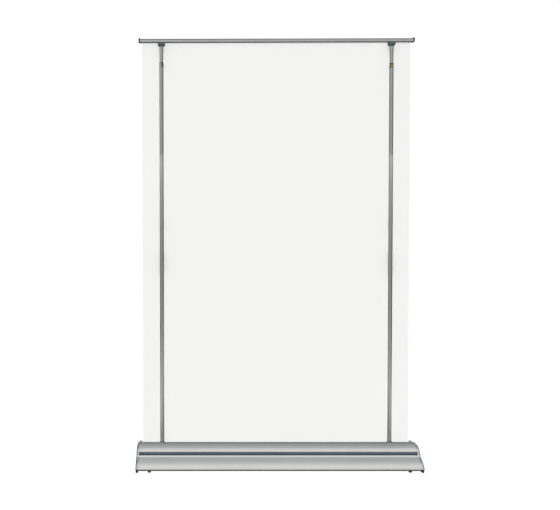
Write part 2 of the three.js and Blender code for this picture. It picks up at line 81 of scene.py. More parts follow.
def area_light(name, place, target, size, power):
    data = bpy.data.lights.new(name, "AREA")
    data.shape = "RECTANGLE"
    data.size, data.size_y = size
    data.energy = power
    light = bpy.data.objects.new(name, data)
    light.location = place
    light.rotation_euler = (Vector(target) - Vector(place)).to_track_quat("-Z", "Y").to_euler()
    scene.collection.objects.link(light)
    return light


def ramp_of(nodes, links, value, stops, tint):
    """Tinted grey by elevation; stops are (sine of the elevation, grey)."""
    ramp = nodes.new("ShaderNodeValToRGB")
    elements = ramp.color_ramp.elements
    while len(elements) < len(stops):
        elements.new(0.5)
    for element, (sine, grey) in zip(elements, stops):
        element.position = (sine + 1) / 2
        element.color = tuple(grey * t for t in tint) + (1,)
    links.new(value, ramp.inputs[0])
    return ramp.outputs[0]


def mapped(nodes, links, value, low, high, start=0.3, end=0.7, smooth=False):
    """value from start..end mapped to low..high."""
    tool = nodes.new("ShaderNodeMapRange")
    if smooth:
        tool.interpolation_type = "SMOOTHSTEP"
    for name, number in (("From Min", start), ("From Max", end), ("To Min", low), ("To Max", high)):
        tool.inputs[name].default_value = number
    links.new(value, tool.inputs["Value"])
    return tool.outputs[0]


def make_world():
    """White for the eye; for light and gloss a studio that is bright in front and dim behind."""
    world = bpy.data.worlds.new("studio")
    scene.world = world
    world.use_nodes = True
    nodes, links = world.node_tree.nodes, world.node_tree.links
    nodes.clear()
    coordinate = nodes.new("ShaderNodeTexCoord")
    split = nodes.new("ShaderNodeSeparateXYZ")
    links.new(coordinate.outputs["Generated"], split.inputs[0])
    height = mapped(nodes, links, split.outputs["Z"], 0, 1, -1, 1)
    front = ramp_of(nodes, links, height, FRONT_STOPS, FRONT_TINT)
    back = ramp_of(nodes, links, height, BACK_STOPS, BACK_TINT)
    mix = nodes.new("ShaderNodeMixRGB")
    links.new(mapped(nodes, links, split.outputs["Y"], 0, 1, -0.12, 0.2, smooth=True), mix.inputs[0])
    links.new(front, mix.inputs[1])
    links.new(back, mix.inputs[2])
    # the studio falls off towards the right
    side = nodes.new("ShaderNodeMixRGB")
    side.blend_type = "MULTIPLY"
    side.inputs[0].default_value = 1.0
    links.new(mix.outputs[0], side.inputs[1])
    links.new(mapped(nodes, links, split.outputs["X"], 1.0, 0.52, 0.2, 0.95, smooth=True), side.inputs[2])
    studio = nodes.new("ShaderNodeBackground")
    links.new(side.outputs[0], studio.inputs["Color"])
    white = nodes.new("ShaderNodeBackground")
    white.inputs["Color"].default_value = (1, 1, 1, 1)
    white.inputs["Strength"].default_value = 1.05
    path = nodes.new("ShaderNodeLightPath")
    pick = nodes.new("ShaderNodeMixShader")
    links.new(path.outputs["Is Camera Ray"], pick.inputs[0])
    links.new(studio.outputs[0], pick.inputs[1])
    links.new(white.outputs[0], pick.inputs[2])
    out = nodes.new("ShaderNodeOutputWorld")
    links.new(pick.outputs[0], out.inputs[0])


def sun(name, direction, angle, strength):
    """An even fill that shows in no gloss."""
    data = bpy.data.lights.new(name, "SUN")
    data.energy = strength
    data.angle = math.radians(angle)
    light = bpy.data.objects.new(name, data)
    light.rotation_euler = Vector(direction).to_track_quat("-Z", "Y").to_euler()
    data.use_shadow = False
    light.visible_glossy = False
    scene.collection.objects.link(light)


# ------------------------------------------------------------------ materials
def shader_tree(name):
    made = bpy.data.materials.new(name)
    made.use_nodes = True
    nodes, links = made.node_tree.nodes, made.node_tree.links
    bsdf = next(n for n in nodes if n.type == "BSDF_PRINCIPLED")
    place = nodes.new("ShaderNodeTexCoord")
    return made, nodes, links, bsdf, place


def noise(nodes, links, place, stretch, scale, detail=4.0, roughness=0.55):
    """Noise in the part's own coordinates, stretched along some axis."""
    mapping = nodes.new("ShaderNodeMapping")
    mapping.inputs["Scale"].default_value = stretch
    links.new(place.outputs["Object"], mapping.inputs["Vector"])
    tex = nodes.new("ShaderNodeTexNoise")
    tex.inputs["Scale"].default_value = scale
    tex.inputs["Detail"].default_value = detail
    tex.inputs["Roughness"].default_value = roughness
    links.new(mapping.outputs[0], tex.inputs["Vector"])
    return tex.outputs["Fac"]


def two_tone(nodes, links, factor, dark, light):
    mix = nodes.new("ShaderNodeMix")
    mix.data_type = "RGBA"
    mix.inputs[6].default_value = (*dark, 1)
    mix.inputs[7].default_value = (*light, 1)
    links.new(factor, mix.inputs[0])
    return mix.outputs[2]


def bump(nodes, links, bsdf, height, distance):
    tool = nodes.new("ShaderNodeBump")
    tool.inputs["Strength"].default_value = 1.0
    tool.inputs["Distance"].default_value = distance
    links.new(height, tool.inputs["Height"])
    links.new(tool.outputs[0], bsdf.inputs["Normal"])


def metal(name, colour, rough, along, tone=0.06, grain=2.0e-5, edge=1.0, fine=900):
    """Drawn or turned metal: hair lines run along one axis, with broad faint clouding."""
    made, nodes, links, bsdf, place = shader_tree(name)
    stretch = {"x": (0.012, 1, 1), "z": (1, 1, 0.012), "none": (1, 1, 1)}[along]
    lines = noise(nodes, links, place, stretch, fine, 3.0, 0.6)
    cloud = noise(nodes, links, place, (1, 1, 1), 9, 3.0)
    dark = tuple(c * (1 - tone) for c in colour)
    light = tuple(min(1, c * (1 + tone)) for c in colour)
    both = nodes.new("ShaderNodeMath")
    both.operation = "ADD"
    links.new(mapped(nodes, links, lines, 0, 0.55), both.inputs[0])
    links.new(mapped(nodes, links, cloud, 0, 0.45), both.inputs[1])
    links.new(two_tone(nodes, links, both.outputs[0], dark, light), bsdf.inputs["Base Color"])
    links.new(mapped(nodes, links, lines, rough * 0.86, rough * 1.16), bsdf.inputs["Roughness"])
    bsdf.inputs["Metallic"].default_value = 1.0
    bsdf.inputs["Specular Tint"].default_value = (edge, edge, edge, 1)
    bump(nodes, links, bsdf, lines, grain)
    return made


def moulded(name, colour, rough, grain_scale, grain, tone=0.12):
    """Moulded plastic or rubber: a fine spark-eroded grain and slight tone changes."""
    made, nodes, links, bsdf, place = shader_tree(name)
    fine = noise(nodes, links, place, (1, 1, 1), grain_scale, 2.0, 0.5)
    cloud = noise(nodes, links, place, (1, 1, 1), 30, 3.0)
    dark = tuple(c * (1 - tone) for c in colour)
    light = tuple(min(1, c * (1 + tone)) for c in colour)
    base = two_tone(nodes, links, mapped(nodes, links, cloud, 0, 1), dark, light)
    links.new(base, bsdf.inputs["Base Color"])
    links.new(mapped(nodes, links, fine, rough * 0.9, rough * 1.1), bsdf.inputs["Roughness"])
    bump(nodes, links, bsdf, fine, grain)
    return made


def felt_material():
    made, nodes, links, bsdf, place = shader_tree("felt")
    fibres = noise(nodes, links, place, (1, 1, 1), 2600, 6.0, 0.75)
    tufts = noise(nodes, links, place, (1, 1, 1), 260, 4.0)
    dark, light = (0.05, 0.05, 0.052), (0.13, 0.13, 0.135)
    tone = two_tone(nodes, links, mapped(nodes, links, tufts, 0, 1), dark, light)
    links.new(tone, bsdf.inputs["Base Color"])
    bsdf.inputs["Roughness"].default_value = 0.95
    bsdf.inputs["Sheen Weight"].default_value = 0.4
    bump(nodes, links, bsdf, fibres, 2.5e-4)
    return made


def film_material():
    """Printable film: matt and very even, with a faint calendered unevenness."""
    made, nodes, links, bsdf, place = shader_tree("film")
    broad = noise(nodes, links, place, (1, 1, 0.35), 2.2, 2.0)
    fine = noise(nodes, links, place, (1, 1, 1), 1400, 2.0)
    dark, light = (0.805, 0.805, 0.805), (0.82, 0.82, 0.82)
    tone = two_tone(nodes, links, mapped(nodes, links, broad, 0, 1), dark, light)
    links.new(tone, bsdf.inputs["Base Color"])
    links.new(mapped(nodes, links, fine, 0.62, 0.74), bsdf.inputs["Roughness"])
    bsdf.inputs["Specular IOR Level"].default_value = 0.2
    bump(nodes, links, bsdf, fine, 1.0e-5)
    return made


def floor_material():
    """Painted shade: darker round the stand and pale further out, as a lit floor is under a low object."""
    made, nodes, links, bsdf, place = shader_tree("pale_floor")
    reach = nodes.new("ShaderNodeVectorMath")
    reach.operation = "MULTIPLY"
    reach.inputs[1].default_value = (0.4, 1, 0)
    links.new(place.outputs["Object"], reach.inputs[0])
    length = nodes.new("ShaderNodeVectorMath")
    length.operation = "LENGTH"
    links.new(reach.outputs["Vector"], length.inputs[0])
    factor = mapped(nodes, links, length.outputs["Value"], 0, 1, 0.3, 0.9, smooth=True)
    tone = two_tone(nodes, links, factor, (0.05, 0.048, 0.045), (0.9, 0.9, 0.89))
    links.new(tone, bsdf.inputs["Base Color"])
    bsdf.inputs["Roughness"].default_value = 0.8
    return made


def sweep_material():
    """The floor as the eye sees it: white, with only a trace of the contact shadow."""
    made, nodes, links, bsdf, place = shader_tree("white_sweep")
    bsdf.inputs["Base Color"].default_value = (0.9, 0.9, 0.9, 1)
    bsdf.inputs["Roughness"].default_value = 0.9
    bsdf.inputs["Specular IOR Level"].default_value = 0.0
    glow = nodes.new("ShaderNodeEmission")
    mix = nodes.new("ShaderNodeMixShader")
    glow.inputs["Strength"].default_value = 1.12
    mix.inputs[0].default_value = 0.8
    links.new(bsdf.outputs[0], mix.inputs[1])
    links.new(glow.outputs[0], mix.inputs[2])
    out = next(n for n in nodes if n.type == "OUTPUT_MATERIAL")
    links.new(mix.outputs[0], out.inputs["Surface"])
    return made


M = {
    "satin": metal("satin_aluminium", (0.80, 0.805, 0.795), 0.32, "x", tone=0.05, edge=0.7),
    "rail": metal("rail_aluminium", (0.585, 0.595, 0.595), 0.34, "x", edge=0.7),
    # a darker copy of the rail's metal: painted shade for the rail's front slope
    "rail_slope": metal("rail_slope_painted_shade", (0.30, 0.305, 0.305), 0.34, "x", edge=0.7),
    "tube": metal("tube_aluminium", (0.50, 0.50, 0.49), 0.30, "z", edge=0.7),
    "tube_light": metal("tube_light_aluminium", (0.54, 0.54, 0.525), 0.30, "z", edge=0.7),
    "polished": metal("polished_aluminium", (0.66, 0.68, 0.68), 0.13, "none",
                      tone=0.04, grain=4e-6, fine=300),
    "dark_rim": metal("dark_rim_aluminium", (0.085, 0.1, 0.115), 0.24, "none",
                    tone=0.08, grain=4e-6, fine=300, edge=0.7),
    # a darker, bluer copy of the satin metal: painted shade for the inside of the base's groove
    "channel": metal("groove_painted_shade", (0.40, 0.46, 0.51), 0.46, "x", tone=0.1, edge=0.7),
    "steel": metal("steel", (0.46, 0.46, 0.47), 0.3, "none", fine=1200),
    "brass": metal("brass", (0.48, 0.33, 0.10), 0.3, "none", tone=0.15, fine=900),
    "dark": moulded("dark_plastic", (0.062, 0.078, 0.082), 0.45, 2600, 3e-5),
    "white": moulded("white_plastic", (0.72, 0.72, 0.71), 0.4, 1800, 1e-5, 0.03),
    "rubber": moulded("black_rubber", (0.012, 0.012, 0.012), 0.75, 1500, 6e-5, 0.3),
    "felt": felt_material(),
    "film": film_material(),
}
# bare metal throws no shade on the film and the floor, as in a shadowless studio
BARE_METAL = ("satin", "rail", "tube", "tube_light", "polished")


# ------------------------------------------------------------------ shape tools
def path(start, *parts, steps=12):
    """Points along lines (p,), quadratic (c, p) and cubic (c1, c2, p) curves."""
    points = [start]
    for part in parts:
        a = points[-1]
        if len(part) == 1:
            points.append(part[0])
            continue
        for i in range(1, steps + 1):
            t = i / steps
            s = 1 - t
            if len(part) == 2:
                weights = ((s * s, a), (2 * s * t, part[0]), (t * t, part[1]))
            else:
                weights = ((s ** 3, a), (3 * s * s * t, part[0]), (3 * s * t * t, part[1]),
                           (t ** 3, part[2]))
            points.append(tuple(sum(w * p[k] for w, p in weights) for k in (0, 1)))
    return points


def arc(u, v, radius, start, end, steps=24):
    """Points on a circle from angle start to end, in radians."""
    angles = [start + (end - start) * i / steps for i in range(steps + 1)]
    return [(u + radius * math.cos(a), v + radius * math.sin(a)) for a in angles]


def ring_loop(u, v, radius, sides=48):
    return arc(u, v, radius, 0, 2 * math.pi, sides)[:-1]


def area_of(loop):
    return sum(a[0] * b[1] - b[0] * a[1] for a, b in zip(loop, loop[1:] + loop[:1])) / 2


def clean(loop, least=1e-4):
    """The closed loop without points that repeat the one before."""
    return [p for p, q in zip(loop, loop[-1:] + loop[:-1]) if math.dist(p, q) > least]


def inset(loop, depth):
    """The closed loop moved inwards by depth, its corners mitred."""
    if abs(depth) < 1e-9:
        return list(loop)
    sign = 1 if area_of(loop) > 0 else -1
    moved = []
    for a, b, c in zip(loop[-1:] + loop[:-1], loop, loop[1:] + loop[:1]):
        u, v = (Vector(b) - Vector(a)).normalized(), (Vector(c) - Vector(b)).normalized()
        n1, n2 = Vector((-u.y, u.x)), Vector((-v.y, v.x))
        shift = (n1 + n2) * (sign * depth / max(1 + n1.dot(n2), 0.35))
        moved.append((b[0] + shift.x, b[1] + shift.y))
    return moved


def fillet(loop, radius, steps=4):
    """The closed loop with each corner rounded; radius is one number or one for each corner."""
    radii = radius if hasattr(radius, "__len__") else [radius] * len(loop)
    out = []
    for i, b in enumerate(loop):
        a, c = Vector(loop[i - 1]), Vector(loop[(i + 1) % len(loop)])
        b = Vector(b)
        u, v = (a - b), (c - b)
        half = u.angle(v) / 2
        reach = min(radii[i] / max(math.tan(half), 1e-6), u.length * 0.49, v.length * 0.49)
        if radii[i] <= 0 or half > math.radians(89):
            out.append(tuple(b))
            continue
        p, q = b + u.normalized() * reach, b + v.normalized() * reach
        for k in range(steps + 1):
            t = k / steps
            out.append(tuple((1 - t) ** 2 * p + 2 * t * (1 - t) * b + t * t * q))
    return out


PLACE = {
    "x": lambda s, u, v: (s, u, v),
    "y": lambda s, u, v: (u, s, v),
    "z": lambda s, u, v: (u, v, s),
}


class Builder:
    """Collects closed shells and turns them into one object."""

    def __init__(self):
        self.points, self.faces = [], []

    def ring(self, points):
        first = len(self.points)
        self.points.extend(points)
        return list(range(first, len(self.points)))

    def wall(self, a, b):
        n = len(a)
        self.faces.extend((a[i], a[(i + 1) % n], b[(i + 1) % n], b[i]) for i in range(n))

    def lid(self, rings, axis):
        keep = {"x": (1, 2), "y": (0, 2), "z": (0, 1)}[axis]
        flat = [Vector((point[keep[0]], point[keep[1]], 0)) for point in self.points]
        loops = [[flat[i] for i in ring] for ring in rings]
        index = [i for ring in rings for i in ring]
        self.faces.extend(tuple(index[k] for k in tri) for tri in tessellate_polygon(loops))

    def loft(self, stations, axis="x", holes=()):
        """stations are (s, loop) from low to high s.

        A hole is its stations, and whether it opens low and high.
        """
        put = PLACE[axis]

        def drawn(steps):
            rings = [self.ring([put(s, u, v) for u, v in loop]) for s, loop in steps]
            for a, b in zip(rings, rings[1:]):
                self.wall(a, b)
            return rings

        outer = drawn(stations)
        low, high = [outer[0]], [outer[-1]]
        for steps, opens_low, opens_high in holes:
            rings = drawn(steps)
            for opens, face, ring in ((opens_low, low, rings[0]), (opens_high, high, rings[-1])):
                if opens:
                    face.append(ring)
                else:
                    self.lid([ring], axis)
        self.lid(low, axis)
        self.lid(high, axis)
        return self

    def prism(self, loop, stations, axis="x", holes=()):
        """One loop drawn along an axis; stations are (s, inset)."""
        loop = clean(loop)
        return self.loft([(s, inset(loop, d)) for s, d in stations], axis, holes)

    def lathe(self, profile, centre, axis="z", sides=64, hollow=True):
        """profile (radius, s) turned round an axis at centre. A solid one starts and ends on the axis."""
        put = PLACE[axis]
        u, v = centre
        rings = []
        for radius, s in profile:
            if radius > 0:
                rings.append(self.ring([put(s, a, b) for a, b in ring_loop(u, v, radius, sides)]))
            else:
                rings.append(self.ring([put(s, u, v)]))
        pairs = list(zip(rings, rings[1:])) + ([(rings[-1], rings[0])] if hollow else [])
        for a, b in pairs:
            if len(a) == 1 or len(b) == 1:
                hub, rim = (a[0], b) if len(a) == 1 else (b[0], a)
                self.faces.extend((rim[i], rim[(i + 1) % len(rim)], hub) for i in range(len(rim)))
            else:
                self.wall(a, b)
        return self

    def object(self, name, look, sharp=SHARP):
        mesh = bpy.data.meshes.new(name)
        mesh.from_pydata([tuple(c * MM for c in p) for p in self.points], [], self.faces)
        tidy_normals(mesh)
        mesh.shade_smooth()
        mesh.set_sharp_from_angle(angle=math.radians(sharp))
        mesh.materials.append(M[look])
        obj = bpy.data.objects.new(name, mesh)
        scene.collection.objects.link(obj)
        return obj


def tidy_normals(mesh):
    bm = bmesh.new()
    bm.from_mesh(mesh)
    bmesh.ops.recalc_face_normals(bm, faces=bm.faces)
    bm.to_mesh(mesh)
    bm.free()


def cut(obj, builder, operation="DIFFERENCE"):
    """obj with the builder's shells taken away or added, applied to its mesh."""
    tool = builder.object(obj.name + "_tool", "dark")
    modifier = obj.modifiers.new("cut", "BOOLEAN")
    modifier.operation = operation
    modifier.solver = "EXACT"
    modifier.object = tool
    bpy.context.view_layer.update()
    result = bpy.data.meshes.new_from_object(obj.evaluated_get(bpy.context.evaluated_depsgraph_get()))
    obj.modifiers.remove(modifier)
    look = obj.data.materials[0]
    obj.data = result
    result.materials.clear()
    result.materials.append(look)
    result.shade_smooth()
    result.set_sharp_from_angle(angle=math.radians(SHARP))
    bpy.data.objects.remove(tool)
    return obj


def finish_piece(obj, body, look, *nodes):
    obj.visible_diffuse = look not in BARE_METAL
    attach(obj, body)
    if nodes:
        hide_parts(*nodes)
    return obj


def mirrored(sign, stations):
    """Stations given outwards from the centre, as low to high x on one side."""
    return stations if sign > 0 else [(-s, d) for s, d in reversed(stations)]


# ------------------------------------------------------------------ sections of the base
FLOOR_TO_BASE = 10.0
WALL = 2.5
HALF = 765.0                            # centre to the outer face of an end cap
INSIDE = 751.0                          # to an end cap's inner edge
PLATE = 760.0                           # to the inner face of its solid outer plate
SHOULDER = 8.0
DOME_Y, DOME_Z, DOME_R = 7.5, 15.6, 102.0
DOME_FRONT, DOME_REAR = -63, 61
GROOVE_FRONT, GROOVE_REAR = -73.5, -52
SCREWS = ((-128, 21.5, "front"), (135, 22, "rear"), (29, 104.5, "top"))
SCREW_HOLE, SCREW_SHANK, SCREW_HEAD, SCREW_RECESS, SCREW_LENGTH = 2.3, 2.0, 4.0, 1.6, 30
POLE_X, POLE_Y = 631.0, 49.0
CUP_R, CUP_BORE, CUP_BOTTOM, FLANGE_R = 13.2, 11.6, 12.8, 17.0
POLE_SEAT = {"left": 29, "right": 22}   # the right pole sits a little deeper
SHEET_Y, SHEET_HALF = 65.0, 739.0


def dome_z(y, below=0.0):
    return DOME_Z + math.sqrt((DOME_R - below) ** 2 - (y - DOME_Y) ** 2)


def dome_arc(y0, y1, below=0.0, steps=64):
    r = DOME_R - below
    return arc(DOME_Y, DOME_Z, r, math.acos((y0 - DOME_Y) / r), math.acos((y1 - DOME_Y) / r), steps)


def foot_path():
    """The upright plinth, the nose over it, and the slope."""
    return path((-141.6, 10), ((-143.6, 10), (-143.7, 12)), ((-143.8, 16.4),), ((-145, 16.7), (-145, 18)),
                ((-143.8, 25), (-135.5, 35.5)), ((-123.5, 44), (-110, 51)), ((-95.5, 58.2), (-80.5, 65)),
                steps=16)


ROOF_EDGE = (68.2, 98.5)                # rear edge of the slot
# the rear housing from there, over the roller and down to the floor
REAR = (((97, 92),), ((124, 87), (143, 72), (145, 44)), ((145, 14),), ((145, 10), (141, 10)))


def base_outline():
    floor = FLOOR_TO_BASE + WALL
    lip = path((-80.5, 65), ((-76.9, 71.6),), ((-76, 73.1), (-74.6, 73)), ((-73.6, 72.9), (-73.5, 71)),
               ((-73.5, 62.8),), ((-73.5, 62), (-72.5, 61.8)), steps=5)[1:]
    wall, behind = GROOVE_REAR, GROOVE_REAR + WALL
    inner = [(wall, 60), (wall, 84), (behind, 84), (behind, floor), (27.5, floor), (27.5, 98), (24, 98),
             (24, 111), (34, 111), (34, 98), (30.5, 98), (30.5, floor), (128, floor), (128, 31), (142.5, 31),
             (142.5, 44)]
    rear_inner = path((142.5, 44), ((140.5, 71), (123, 84), (96.5, 89.5)), ((68.2, 96),), steps=20)[1:]
    rear = path(ROOF_EDGE, *REAR, steps=20)
    return foot_path() + lip + inner + rear_inner + rear


def base_holes():
    floor = FLOOR_TO_BASE + WALL
    hollow = path((-120, floor), ((-54.5, floor),), ((-54.5, 57.5),), ((-76, 59.5),), ((-76, 66),),
                  ((-79.3, 62.7),), ((-94.4, 56), (-108.8, 48.8)), ((-122, 42), (-133, 34.2)),
                  ((-133.6, 31.5),), ((-120, 29.5),), steps=10)
    return [clean(hollow)] + [ring_loop(y, z, SCREW_HOLE, 24) for y, z, _ in SCREWS]


def cover_outline():
    """The dome, its front edge cut level, with the three legs that hold it on the extrusion."""
    legs = ((-49.2, 74), (21.2, 100), (34.4, 102))
    leg = WALL - 0.1
    edge = dome_z(DOME_FRONT)
    start = (DOME_Y - math.sqrt((DOME_R - WALL) ** 2 - (edge - DOME_Z) ** 2), edge)
    points = [start, (legs[0][0], dome_z(legs[0][0], WALL))]
    ends = [y for y, _ in legs[1:]] + [DOME_REAR]
    for (y, bottom), after in zip(legs, ends):
        points += [(y, bottom), (y + leg, bottom)]
        points += dome_arc(y + leg, after, WALL, 30)
    points += dome_arc(DOME_REAR, DOME_FRONT, 0, 120)
    return clean(points)


def cap_outline():
    corner = (DOME_FRONT, dome_z(DOME_FRONT))
    front = path((-80.5, 65), ((-72, 73), (-69, 80), corner), steps=14)[1:]
    rear = path(ROOF_EDGE, *REAR, steps=20)
    return clean(foot_path() + front + dome_arc(DOME_FRONT, DOME_REAR, 0, 90)[1:] + rear)


# ------------------------------------------------------------------ base
def build_base():
    end, break_edge = INSIDE - GAP, 0.35
    stations = [(-end, break_edge), (-end + break_edge, 0), (end - break_edge, 0), (end, break_edge)]
    holes = [([(s, inset(loop, -d)) for s, d in stations], True, True) for loop in base_holes()]
    extrusion = Builder().prism(base_outline(), stations, "x", holes).object("base_profile", "satin")
    # painted shade: the inside of the groove behind the lip gets a darker, bluer aluminium that stands in
    # for the shade of the recess
    extrusion.data.materials.append(M["channel"])
    for face in extrusion.data.polygons:
        _, y, z = (c / MM for c in face.center)
        in_groove = GROOVE_FRONT - 0.5 < y < GROOVE_REAR + 3 and 59 < z < 85 and face.normal.z < 0.9
        on_floor = GROOVE_FRONT + 0.5 < y < GROOVE_REAR and 59 < z < 63
        if in_groove or on_floor:
            face.material_index = 1
    finish_piece(extrusion, "base", "satin", "base_extrusion")

    cover = Builder().prism(cover_outline(), stations).object("dome_cover_profile", "satin")
    notch = Builder()
    for _, sign in SIDES:
        x = sign * POLE_X
        room = CUP_R + GAP
        slot = arc(x, POLE_Y, room, math.pi, 2 * math.pi, 32) + [(x + room, 80), (x - room, 80)]
        notch.prism(slot, [(60, 0), (130, 0)], "z")
    finish_piece(cut(cover, notch), "base", "satin", "dome_cover")

    for side, sign in SIDES:
        build_end_cap(side, sign)
        build_socket(side, sign)
        build_slot_guide(side, sign)
        build_feet(side, sign)
    build_felt()


def shoulder_z(x):
    """Height of the rolled shoulder over an end cap's thickness."""
    reach = min(max((x - INSIDE) / (HALF - INSIDE), 0), 1)
    return DOME_Z + DOME_R - SHOULDER + SHOULDER * math.sqrt(1 - reach ** 2)


def build_end_cap(side, sign):
    outline = cap_outline()
    # the middle stations carry no rounding: they let the shoulder's curve through
    soft = [(INSIDE, 0.5), (INSIDE + 0.5, 0), (INSIDE + 2, 0), (INSIDE + 4, 0), (INSIDE + 6, 0),
            (INSIDE + 8, 0), (PLATE, 0), (PLATE + 0.2, 0), (HALF - 3, 0.15), (HALF - 2, 0.45),
            (HALF - 1.1, 1.0), (HALF - 0.4, 1.8), (HALF, 3.0)]
    pocket = fillet([(-118, 18), (124, 18), (124, 66), (106, 78), (60, 84), (20, 92),
                     (-20, 96), (-44, 80), (-62, 58), (-88, 43), (-118, 33)], 4)
    holes = [([(INSIDE, pocket), (PLATE, pocket)], True, False)]
    bore = SCREW_HEAD + 0.4
    steps = [(INSIDE, SCREW_HOLE), (HALF - 3.2, SCREW_HOLE), (HALF - 3.2, bore), (HALF - 0.4, bore),
             (HALF, bore + 0.4)]
    for y, z, _ in SCREWS:
        holes.append(([(s, ring_loop(y, z, r, 32)) for s, r in steps], True, True))
    placed = []
    for loops, opens_in, opens_out in holes:
        opens = (opens_in, opens_out) if sign > 0 else (opens_out, opens_in)
        placed.append((mirrored(sign, loops), *opens))
    shell = Builder().prism(outline, mirrored(sign, soft), "x", placed)
    shell.points = [(x, y, min(z, shoulder_z(abs(x)))) for x, y, z in shell.points]
    cap = shell.object(f"end_cap_shell_{side}", "polished")
    # the rim that rolls over the edge is dark
    cap.data.materials.append(M["dark_rim"])
    for face in cap.data.polygons:
        if abs(face.center.x) > PLATE * MM:
            face.material_index = 1
    finish_piece(cap, "base", "polished", f"end_cap_{side}")

    head, face_x = HALF - 2.9, HALF - GAP
    profile = [(HALF - SCREW_LENGTH, 1.2), (HALF - SCREW_LENGTH + 1.2, SCREW_SHANK), (head, SCREW_SHANK),
               (head, SCREW_HEAD - 0.1), (head + 0.2, SCREW_HEAD), (HALF - 0.9, SCREW_HEAD),
               (HALF - 0.5, SCREW_HEAD - 0.15), (face_x, SCREW_HEAD - 0.5)]
    for y, z, place in SCREWS:
        body = mirrored(sign, [(s, ring_loop(y, z, r, 48)) for s, r in profile])
        recess = mirrored(sign, [(s, ring_loop(y, z, SCREW_RECESS, 6)) for s in (HALF - 2.0, face_x)])
        screw = Builder().loft(body, "x", [(recess, sign < 0, sign > 0)])
        screw = screw.object(f"cap_screw_{side}_{place}", "steel")
        finish_piece(screw, "base", "steel", f"end_cap_screw_{side}_{place}")


def build_socket(side, sign):
    """A ringed cup for the pole's foot; its flange follows the dome and stops short of the graphic."""
    x, back = sign * POLE_X, 61.8
    seat = POLE_SEAT[side] - GAP
    made = Builder()
    sides = 96

    def drape(radius, proud):
        points = []
        for u, v in ring_loop(x, POLE_Y, radius, sides):
            v = min(v, back)
            points.append((u, v, dome_z(v) + proud))
        return made.ring(points)

    def level(radius, z):
        return made.ring([(u, min(v, back), z) for u, v in ring_loop(x, POLE_Y, radius, sides)])

    rings = [level(CUP_R, CUP_BOTTOM), drape(CUP_R, -3.4), drape(13.25, GAP), drape(16.6, GAP),
             drape(FLANGE_R, 0.45), drape(FLANGE_R, 0.8), drape(16.5, 1.2), drape(15.2, 1.4),
             drape(13.0, 1.4), drape(12.2, 1.2), drape(CUP_BORE, 0.5), level(CUP_BORE, seat)]
    for a, b in zip(rings, rings[1:]):
        made.wall(a, b)
    made.lid([rings[0]], "z")
    made.lid([rings[-1]], "z")
    finish_piece(made.object(f"pole_cup_{side}", "dark"), "base", "dark", f"pole_socket_{side}")


def build_slot_guide(side, sign):
    y0, y1, middle = 61.3, 67.9, 64.6
    foot, shoulder, top = 103.5, 109, 113
    stem = [(y0, 92), (y1, 92), (y1, foot + 0.5), (y0, foot + 0.5)]
    lug = path((y0, foot), ((y1, foot),), ((y1, shoulder),), ((y1, top), (middle, top)),
               ((y0, top), (y0, shoulder)), steps=8)
    along_stem = [(INSIDE - 8, 0.3), (INSIDE - 7.7, 0), (INSIDE - 0.4, 0)]
    along_lug = [(INSIDE - 8, 0.9), (INSIDE - 7.6, 0.3), (INSIDE - 7.1, 0), (INSIDE + 7.1, 0),
                 (INSIDE + 7.6, 0.3), (INSIDE + 8, 0.9)]
    made = Builder().prism(stem, mirrored(sign, along_stem)).prism(lug, mirrored(sign, along_lug))
    finish_piece(made.object(f"slot_lug_{side}", "steel"), "base", "steel", f"slot_guide_{side}")


def build_felt():
    """A pile strip: its top edge is slightly uneven."""
    rng = random.Random(7)
    made = Builder()
    count = 740
    rings = []
    front, back, low = 66.3, 67.8, 90
    for i in range(count + 1):
        x = -SHEET_HALF + 2 * SHEET_HALF * i / count
        top = 97.6 + rng.uniform(-0.35, 0.35)
        lean = rng.uniform(-0.12, 0.12)
        section = [(back, low), (back, top - 0.5), (back - 0.4 + lean, top), (front + 0.4 + lean, top),
                   (front + lean, top - 0.6), (front, low)]
        rings.append((x, section))
    made.loft(rings, "x")
    finish_piece(made.object("slot_pile_strip", "felt", 60), "base", "felt", "slot_felt")


def build_feet(side, sign):
    for place, y in (("front", -133), ("rear", 124)):
        profile = [(0, 1.2), (2.2, 1.2), (2.6, 0), (5.2, 0), (6.4, 0.5), (7.5, 1.6), (8.5, 3.4), (9.2, 5.6),
                   (9.5, 7.8), (9.5, 8.8), (9.2, 9.5), (8.8, 9.7), (0, 9.7)]
        foot = Builder().lathe(profile, (sign * 692, y), "z", 64, hollow=False)
        finish_piece(foot.object(f"rubber_foot_{place}_{side}", "rubber"), "base", "rubber",
                     f"round_foot_{place}_{side}")
    for place, y in (("front", -128), ("rear", 128)):
        x = sign * 758
        loop = fillet([(x - 6, y - 14), (x + 6, y - 14), (x + 6, y + 14), (x - 6, y + 14)], 2.5, 6)
        pad = Builder().prism(loop, [(0, 0.8), (0.25, 0.3), (0.8, 0), (9.2, 0), (9.7, 0.4)], "z")
        finish_piece(pad.object(f"rubber_pad_{place}_{side}", "rubber"), "base", "rubber",
                     f"corner_pad_{place}_{side}")


# ------------------------------------------------------------------ poles
TUBE_OUTER, TUBE_INNER = 11.2, 10.3     # lower and middle sections
UPPER_OUTER, UPPER_INNER = 10, 8.8
SECTION, UPPER_LENGTH = 1087, 975
NECK_TOP = 2297.2                       # where the bracket stands on an upper section's plug
BUSH_INNER = 10.25
WINDOW_HEIGHT, WINDOW_HALF, BUSH_HALF = 23, 75, 73
LOCK_INNER, LOCK_HEIGHT, LOCK_TOP, LOCK_HALF, LOCK_TRAVEL = 10.35, 14, 3, 38, 3
LOCK_FACING = {"left": -18, "right": -90}
CUTTER = (14, 6)                        # radii of a cutter that goes through a tube's wall


def tube_profile(outer, inner, low, high, chamfer=0.4):
    return [(outer - chamfer, low), (outer, low + chamfer), (outer, high - chamfer), (outer - chamfer, high),
            (inner + chamfer * 0.5, high), (inner, high - chamfer * 0.5), (inner, low + chamfer * 0.5),
            (inner + chamfer * 0.5, low)]


